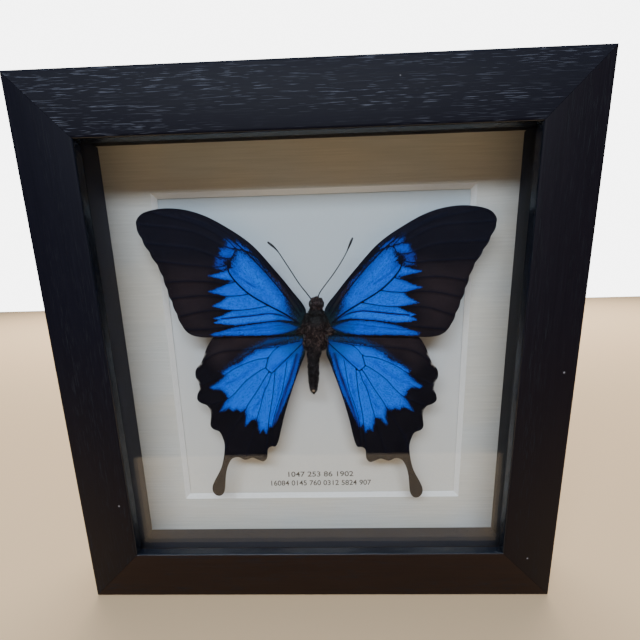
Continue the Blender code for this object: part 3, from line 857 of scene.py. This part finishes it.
def add_ball(name, across, up, depth, radii, turn=0.0):
    """A squashed ball on the specimen, in mm."""
    bpy.ops.object.select_all(action="DESELECT")
    place = to_world(np.array([[across, up]]), depth)[0]
    bpy.ops.mesh.primitive_uv_sphere_add(
        segments=32, ring_count=20, radius=1, location=place, rotation=(0, turn, 0)
    )
    ball = bpy.context.object
    ball.name = name
    ball.scale = tuple(r * MM for r in radii)
    bpy.ops.object.transform_apply(location=True, rotation=True, scale=True)
    return ball


# The abdomen is turned from its profile, tail first, with a groove at each joint.
# Each ring has its length and its radius.
ABDOMEN_RINGS = [
    (1.3, 1.2), (1.8, 1.5), (2.0, 1.72), (2.1, 1.82), (2.2, 1.85), (2.2, 1.95), (2.3, 2.25), (2.6, 2.7),
]
profile = [(0.0, 0.02), (0.35, 0.3), (0.8, 0.55), (1.3, 0.85)]
reached = 1.5
for length, radius in ABDOMEN_RINGS:
    swell = ((0.0, 0.84), (0.25, 0.94), (length * 0.55, 1.0), (length - 0.15, 0.96))
    profile += [(reached + along, radius * share) for along, share in swell]
    reached += length
abdomen_mesh = bpy.data.meshes.new("abdomen")
abdomen_mesh.from_pydata([(r, 0, z) for z, r in profile], [(i, i + 1) for i in range(len(profile) - 1)], [])
abdomen = add_object("abdomen", abdomen_mesh)
edit_mode(abdomen)
bpy.ops.mesh.spin(steps=32, angle=2 * math.pi, center=(0, 0, 0), axis=(0, 0, 1))
bpy.ops.mesh.select_all(action="SELECT")
bpy.ops.mesh.remove_doubles(threshold=0.01)
bpy.ops.mesh.normals_make_consistent(inside=False)
bpy.ops.object.mode_set(mode="OBJECT")
for vertex in abdomen.data.vertices:
    x, y, z = vertex.co
    lean = TAIL_X + 0.8 * max(0.0, (z - 11) / 8) ** 1.5
    vertex.co = to_world(np.array([[x + lean, TAIL_Z + z]]), BODY_DEPTH + y)[0]

lumps = [
    abdomen,
    add_ball("thorax", 0.1, 10.2, BODY_DEPTH, (3.0, 3.2, 5.2)),
    add_ball("thorax_rear", -0.2, 6.4, BODY_DEPTH, (2.7, 2.8, 3.6)),
    add_ball("scutum_left", -1.0, 11.0, BODY_DEPTH - 0.6, (1.7, 2.6, 4.0)),
    add_ball("scutum_right", 1.2, 11.0, BODY_DEPTH - 0.6, (1.7, 2.6, 4.0)),
    add_ball("wing_root_left", -4.1, 9.7, BODY_DEPTH - 0.5, (2.1, 0.55, 1.2), -0.15),
    add_ball("wing_root_right", 4.1, 9.8, BODY_DEPTH - 0.5, (2.1, 0.55, 1.2), 0.15),
    add_ball("rear_root_left", -2.7, 6.1, BODY_DEPTH - 0.1, (0.9, 0.9, 2.7), 0.12),
    add_ball("rear_root_right", 2.6, 6.1, BODY_DEPTH - 0.1, (0.9, 0.9, 2.9), -0.1),
    add_ball("neck", 0.3, 15.7, BODY_DEPTH, (2.4, 2.0, 2.0)),
    add_ball("head", 0.4, 18.2, BODY_DEPTH - 0.1, (2.2, 2.2, 2.6)),
    add_ball("collar_left", -1.2, 15.6, BODY_DEPTH - 1.0, (1.2, 1.2, 0.9), -0.3),
    add_ball("collar_right", 1.5, 15.6, BODY_DEPTH - 1.0, (1.2, 1.2, 0.9), 0.3),
    add_ball("shoulder_left", -3.0, 12.9, BODY_DEPTH - 0.3, (1.3, 1.1, 2.7), 0.25),
    add_ball("shoulder_right", 3.1, 12.9, BODY_DEPTH - 0.3, (1.3, 1.1, 2.7), -0.25),
    add_ball("palp_left", -0.1, 19.9, BODY_DEPTH + 0.4, (0.5, 0.5, 0.8), 0.1),
    add_ball("palp_right", 0.9, 19.9, BODY_DEPTH + 0.4, (0.5, 0.5, 0.8), -0.1),
]
bpy.ops.object.select_all(action="DESELECT")
for lump in lumps:
    lump.select_set(True)
bpy.context.view_layer.objects.active = lumps[1]
bpy.ops.object.join()
body = bpy.context.object
body.name = "butterfly_body"
remesh = body.modifiers.new("one skin", "REMESH")
remesh.mode = "VOXEL"
remesh.voxel_size = 0.17 * MM
soften = body.modifiers.new("softened joints", "SMOOTH")
soften.iterations = 3
for modifier in (remesh, soften):
    bpy.ops.object.modifier_apply(modifier=modifier.name)
# Dried skin: shrunk into shallow dimples and wrinkles.
tail = Vector(to_world(np.array([[TAIL_X, TAIL_Z + 1.5]]), BODY_DEPTH - 1.0)[0])
# Painted highlight: a pale spot is marked on the tail tip, and the down is left off it.
bare = []
shrunk = []
for vertex in body.data.vertices:
    place = vertex.co / MM
    dimple = turbulence.noise(place * 0.7) * 0.16 + turbulence.noise(place * 1.9) * 0.1
    if place.z > MIDDLE_Z / MM + 16.5:
        dimple += turbulence.noise(place * 1.0) * 0.5
    shrunk.append(vertex.co + vertex.normal * (dimple * MM))
    bare.append(max(0.0, 1 - (vertex.co - tail).length / (0.8 * MM)))
for vertex, place in zip(body.data.vertices, shrunk):
    vertex.co = place
keep_values(body.data, "bare", bare)
bpy.ops.object.shade_smooth()


def along_body(tree, colour):
    """Tints a colour along the body: dark abdomen, brown rear thorax, black shoulders, rusty head."""
    up = height_up(tree)
    mottle = noise(tree, stretched(tree), 1.0, 3.0, 0.6)
    share = times(tree, up, 1 / 40, (15 - MIDDLE_Z / MM) / 40 - 0.06)
    share = times(tree, mottle, 0.12, share)
    tint = ramp(
        tree,
        share,
        (0.45, (0.6, 0.62, 0.7)),
        (0.52, (1.35, 1.15, 1.15)),
        (0.66, (1.3, 1.1, 1.1)),
        (0.7, (0.3, 0.42, 0.46)),
        (0.785, (0.3, 0.4, 0.44)),
        (0.82, (1.4, 1.08, 1.2)),
    )
    patches = ramp(tree, mottle, (0.38, 0.35), (0.62, 1.35))
    return tinted(tree, tinted(tree, colour, tint), patches)


chitin, tree, shader = new_finish("dark_chitin", (0.004, 0.0035, 0.0035), 0.6, 0.15)
pits = noise(tree, stretched(tree), 3.0, 4.0, 0.6)
black, brown, buff = (0.003, 0.0026, 0.0028), (0.012, 0.009, 0.008), (0.03, 0.025, 0.022)
skin = along_body(tree, ramp(tree, pits, (0.35, black), (0.62, brown), (0.7, buff)))
# Painted highlight: the marked tail tip is painted pale.
bare = ramp(tree, value_of(tree, "bare"), (0.1, 0.0), (0.6, 1.0))
feed(shader, blend_colour(tree, bare, skin, (0.28, 0.22, 0.17, 1)))
raise_grain(shader, pits, 0.3, 0.1)
body.data.materials.clear()
body.data.materials.append(chitin)
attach(body, "root")
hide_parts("body")

eye_skin, tree, shader = new_finish("beaded_eye", (0.012, 0.009, 0.008), 0.35, 0.4)
beads = put(tree, "TexVoronoi", {"Vector": stretched(tree), "Scale": 9.0})
bead = beads.outputs["Distance"]
feed(shader, ramp(tree, bead, (0.0, (0.02, 0.014, 0.012)), (0.6, (0.006, 0.005, 0.005))))
raise_grain(shader, bead, 0.4, -0.05)
for side, label in ((-1, "left"), (1, "right")):
    eye = add_ball("eye_" + label, 0.4 + side * 1.65, 18.3, BODY_DEPTH - 0.3, (0.9, 1.3, 1.5), side * 0.15)
    bpy.ops.object.shade_smooth()
    eye.data.materials.append(eye_skin)
    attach(eye, "root")

ABDOMEN_TOP = 3.5
SHOULDERS = 12
HEAD_FOOT = 16.6
DOWN_HAIRS = 14000
HAIR_RADIUS = 0.05 * MM
ROOT_SINK = 0.05 * MM  # how deep a hair's foot sits in the skin


def add_down(name, skin, count, seed, root_radius, choose):
    """A coat of fine tapered hairs. choose gives each hair its length, direction and shade, or None."""
    rng = random.Random(seed)
    mesh = skin.data
    mesh.calc_loop_triangles()
    triangles = mesh.loop_triangles
    areas = np.array([t.area for t in triangles])
    ladder = np.cumsum(areas) / areas.sum()
    points, faces, shades = [], [], []
    for _ in range(count):
        triangle = triangles[int(np.searchsorted(ladder, rng.random()))]
        a, b, c = (mesh.vertices[i].co for i in triangle.vertices)
        u, v = rng.random(), rng.random()
        if u + v > 1:
            u, v = 1 - u, 1 - v
        start = a + (b - a) * u + (c - a) * v
        picked = choose(start, triangle.normal, rng)
        if picked is None:
            continue
        length, aim, shade = picked
        aim = aim.normalized()
        across = aim.cross(triangle.normal)
        across = across.normalized() if across.length > 1e-6 else aim.orthogonal().normalized()
        other = aim.cross(across)
        bend = triangle.normal * -0.25 + across * rng.uniform(-0.25, 0.25)
        first = len(points)
        for share, width in ((0.0, 1.0), (0.5, 0.75)):
            centre = start + aim * (length * share) + bend * (length * share * share)
            centre -= triangle.normal * (ROOT_SINK * (1 - share))
            for corner in range(3):
                turn = 2 * math.pi * corner / 3
                rim = across * math.cos(turn) + other * math.sin(turn)
                points.append(centre + rim * (root_radius * width))
        points.append(start + aim * length + bend * length)
        for corner in range(3):
            follow = (corner + 1) % 3
            faces.append((first + corner, first + follow, first + 3 + follow, first + 3 + corner))
            faces.append((first + 3 + corner, first + 3 + follow, first + 6))
        faces.append((first + 2, first + 1, first))
        shades += [shade] * 7
    coat_mesh = bpy.data.meshes.new(name)
    coat_mesh.from_pydata([tuple(p) for p in points], [], faces)
    keep_values(coat_mesh, "shade", shades)
    coat = add_object(name, coat_mesh)
    face_outwards(coat)
    bpy.ops.object.shade_smooth()
    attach(coat, "root")
    return coat


def body_hair(start, normal, rng):
    """Long down on the thorax and wing roots, laid back and outward, and short hair elsewhere."""
    up = (start.z - MIDDLE_Z) / MM
    out = start.x / MM - SPECIMEN_X
    if normal.y > 0.4:
        return None
    lay = Vector((0.25 * out / 3.5, 0, -0.75))
    if up < ABDOMEN_TOP:
        length = 0.7
        if rng.random() < 0.3:
            return None
    elif up > HEAD_FOOT:
        length = 0.4
        lay = Vector((0.1 * out, 0, 0.5))
        if rng.random() < 0.3:
            return None
    else:
        length = 1.15 if up < SHOULDERS else 0.8
        if abs(out) > 3.2 and up < SHOULDERS:
            lay = Vector((math.copysign(1.6, out), 0.3, -0.3))
    length *= rng.uniform(0.55, 1.3) * MM
    scatter = Vector((rng.uniform(-0.6, 0.6), rng.uniform(-0.5, 0.3), rng.uniform(-0.5, 0.5)))
    shade = rng.random()
    # The down is left off the tail tip, where the painted highlight is.
    if (start - tail).length < 0.9 * MM:
        return None
    return length, normal * 0.6 + lay + scatter, shade


down, tree, shader = new_finish("dark_down", (0.02, 0.017, 0.016), 0.6, 0.15)
patchy = noise(tree, stretched(tree, (0.35, 0.35, 0.35)), 1.0, 3.0)
shade = times(tree, value_of(tree, "shade"), 0.75, times(tree, patchy, 0.35))
hues = ramp(
    tree,
    shade,
    (0.32, (0.0022, 0.0018, 0.0022)),
    (0.6, (0.011, 0.0075, 0.0075)),
    (0.78, (0.04, 0.027, 0.025)),
    (0.9, (0.24, 0.19, 0.17)),
)
feed(shader, along_body(tree, hues))
coat = add_down("body_down", body, DOWN_HAIRS, 4, HAIR_RADIUS, body_hair)
coat.data.materials.append(down)

# ---------------------------------------------------------------------------
# The feelers. Two dry, finely ringed stalks that spread from the crown and thicken
# into a club at the tip.
# ---------------------------------------------------------------------------

feeler_black, tree, shader = new_finish("feeler_black", (0.004, 0.004, 0.005), 0.5, 0.3)
rings = noise(tree, stretched(tree), 4.0, 2.0)
feed(shader, ramp(tree, rings, (0.35, (0.003, 0.003, 0.004)), (0.65, (0.008, 0.007, 0.008))))
raise_grain(shader, rings, 0.2, 0.05)
FEELERS = {
    "left": [
        (-1.2, 20.0, 14.4), (-2.6, 21.9, 14.0), (-5, 25, 13.6), (-8.6, 30.6, 13), (-12, 35.6, 12.7),
        (-14.7, 37.9, 12.8),
    ],
    "right": [
        (0.8, 20.2, 14.4), (1.5, 22.1, 14.0), (3, 24.2, 13.6), (6.2, 28.4, 13), (9.6, 33.8, 12.7),
        (11.9, 39, 12.8),
    ],
}
for side, route in FEELERS.items():
    track = even_line(route, 0.09)
    spots = to_world(track[:, :2], track[:, 2])
    line = bpy.data.curves.new("ringed_antenna_" + side, "CURVE")
    line.dimensions = "3D"
    line.bevel_depth = MM
    line.bevel_resolution = 2
    line.use_fill_caps = True
    stalk = line.splines.new("POLY")
    stalk.points.add(len(spots) - 1)
    for i, (point, spot) in enumerate(zip(stalk.points, spots)):
        share = i / (len(spots) - 1)
        club = 0.4 * max(0.0, 1 - abs(share - 0.93) / 0.2) ** 0.8 if share > 0.73 else 0.0
        ring = 0.015 if i % 5 < 2 else 0.0
        point.co = (*spot, 1)
        point.radius = max(0.19 - 0.04 * share, club) + ring if share < 0.995 else 0.1
    pick(add_object("ringed_antenna_" + side, line))
    bpy.ops.object.convert(target="MESH")
    feeler = bpy.context.object
    bpy.ops.object.shade_smooth_by_angle(angle=math.radians(50))
    feeler.data.materials.clear()
    feeler.data.materials.append(feeler_black)
    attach(feeler, "root")
    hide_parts("antenna_" + side)

# ---------------------------------------------------------------------------
# The back board. Thin brown fibreboard with rough-sawn edges, laid in the rebate
# last of all and pressed against the card by the tabs.
# ---------------------------------------------------------------------------

fibreboard, tree, shader = new_finish("brown_fibreboard", (0.2, 0.12, 0.065), 0.6, 0.35)
fibres = noise(tree, stretched(tree, (1.2, 1.2, 0.25)), 1.4, 5.0, 0.7)
flecks = noise(tree, stretched(tree, (0.35, 0.35, 1.6), (0, 0.5, 0)), 1.2, 3.0, 0.6)
brown = ramp(tree, fibres, (0.3, (0.13, 0.075, 0.04)), (0.7, (0.27, 0.165, 0.09)))
fleck = ramp(tree, flecks, (0.62, 0.0), (0.72, 0.5))
feed(shader, blend_colour(tree, fleck, brown, (0.07, 0.04, 0.022, 1)))
raise_grain(shader, fibres, 0.3, 0.1)
finished_copy("back_board", "fibre_back_board", fibreboard, 0.2 * MM)

# ---------------------------------------------------------------------------
# The tabs. Eight thin steel points, one end driven into each rail, bent down flat to
# hold the back board, and easy to lift when the back has to come off.
# ---------------------------------------------------------------------------

bright_steel, tree, shader = new_finish("bright_steel", (0.56, 0.57, 0.58), 0.32)
shader.inputs["Metallic"].default_value = 1.0
brushed = noise(tree, stretched(tree, (0.3, 3, 3)), 2.0, 3.0, 0.6)
feed(shader, times(tree, brushed, 0.3, 0.2), "Roughness")
feed(shader, ramp(tree, brushed, (0.3, (0.48, 0.49, 0.5)), (0.7, (0.62, 0.63, 0.64))))
for side in ("top", "bottom", "left", "right"):
    for number in ("1", "2"):
        tab = f"tab_{side}_{number}"
        finished_copy(tab, "steel_" + tab, bright_steel, 0.08 * MM)

# ---------------------------------------------------------------------------
# The hanger. A sawtooth strip of plated steel, bent to stand off the top rail, with
# a brass-plated nail through each ear.
# ---------------------------------------------------------------------------

finished_copy("hanger", "sawtooth_hanger", bright_steel, 0.08 * MM)
brass, tree, shader = new_finish("nail_brass", (0.6, 0.42, 0.16), 0.3)
shader.inputs["Metallic"].default_value = 1.0
tarnish = noise(tree, stretched(tree), 1.5, 3.0)
feed(shader, ramp(tree, tarnish, (0.3, (0.45, 0.3, 0.12)), (0.7, (0.66, 0.47, 0.2))))
feed(shader, times(tree, tarnish, 0.25, 0.2), "Roughness")
for number in ("1", "2"):
    finished_copy("hanger_nail_" + number, "brass_nail_" + number, brass, 0.05 * MM)

# ---------------------------------------------------------------------------
# The room. A plain pale table top whose front edge lies a hand's width before the
# frame, soft light from above and in front, and a dim room beyond.
# ---------------------------------------------------------------------------

TABLE_FRONT, TABLE_BACK = -0.124, 1.305
TABLE_THICKNESS = 0.04

bpy.ops.object.select_all(action="DESELECT")
bpy.ops.mesh.primitive_cube_add(size=1)
table = bpy.context.object
table.name = "table_top"
table.location = (0, (TABLE_FRONT + TABLE_BACK) / 2, -TABLE_THICKNESS / 2 - 0.2 * MM)
table.scale = (3.0, TABLE_BACK - TABLE_FRONT, TABLE_THICKNESS)
bpy.ops.object.transform_apply(location=True, rotation=True, scale=True)
table.data.materials.append(new_finish("pale_table", (0.78, 0.54, 0.31), 0.8, 0.1)[0])

world = bpy.data.worlds.new("dim_room")
bpy.context.scene.world = world
world.use_nodes = True
tree = world.node_tree
tree.nodes.clear()
toward = put(tree, "TexCoord").outputs["Generated"]
height = put(tree, "SeparateXYZ", {0: toward}).outputs["Z"]
room = ramp(
    tree,
    height,
    (0.0, (0.045, 0.038, 0.04)),
    (0.06, (0.057, 0.061, 0.093)),
    (0.14, (0.06, 0.065, 0.1)),
    (0.24, (0.035, 0.032, 0.034)),
    (0.6, (0.2, 0.26, 0.36)),
    (1.0, (0.5, 0.66, 0.9)),
)
# The walls to either side are darker than the window side.
across = put(tree, "SeparateXYZ", {0: toward}).outputs["X"]
aside = put(tree, "Math", {0: across}, operation="ABSOLUTE").outputs[0]
dimmed = tinted(tree, room, ramp(tree, aside, (0.25, 1.0), (0.85, 0.25)))
seen = put(tree, "LightPath").outputs["Is Camera Ray"]
backdrop = blend_colour(tree, seen, dimmed, (6.0, 6.0, 6.0, 1))
background = put(tree, "Background", {"Color": backdrop, "Strength": 1.0})
put(tree, "OutputWorld", {"Surface": background.outputs["Background"]})


def add_lamp(name, location, target, width, height, power, colour):
    """A soft rectangular lamp aimed at a point."""
    lamp = bpy.data.lights.new(name, "AREA")
    lamp.shape = "RECTANGLE"
    lamp.size = width
    lamp.size_y = height
    lamp.energy = power
    lamp.color = colour
    holder = add_object(name, lamp)
    holder.location = location
    holder.rotation_euler = (Vector(target) - Vector(location)).to_track_quat("-Z", "Y").to_euler()
    return holder


add_lamp("window_light", (-0.05, -0.61, 0.52), (0, 0, 0.09), 0.7, 0.15, 6.5, (0.86, 0.95, 1.08))
back_light = add_lamp("back_light", (0.0, 0.9, 0.8), (0, 0.75, 0), 2.0, 0.9, 20.0, (1.0, 0.98, 0.95))
back_light.data.spread = math.radians(110)
back_light.visible_glossy = False
bounce = add_lamp("table_bounce", (0.0, -0.3, 0.02), (0, 0, 0.1), 0.5, 0.12, 0.3, (1.0, 0.72, 0.42))
bounce.visible_glossy = False
bounce.visible_transmission = False

lens = bpy.data.cameras.new("camera")
lens.sensor_width = 36
lens.lens = 23.34
lens.shift_y = 0.0875
lens.clip_start = 0.005
camera = add_object("camera", lens)
camera.location = (6.75 * MM, -139.25 * MM, 111.58 * MM)
camera.rotation_euler = (math.radians(75.730), math.radians(1.511), math.radians(1.559))
bpy.context.scene.camera = camera
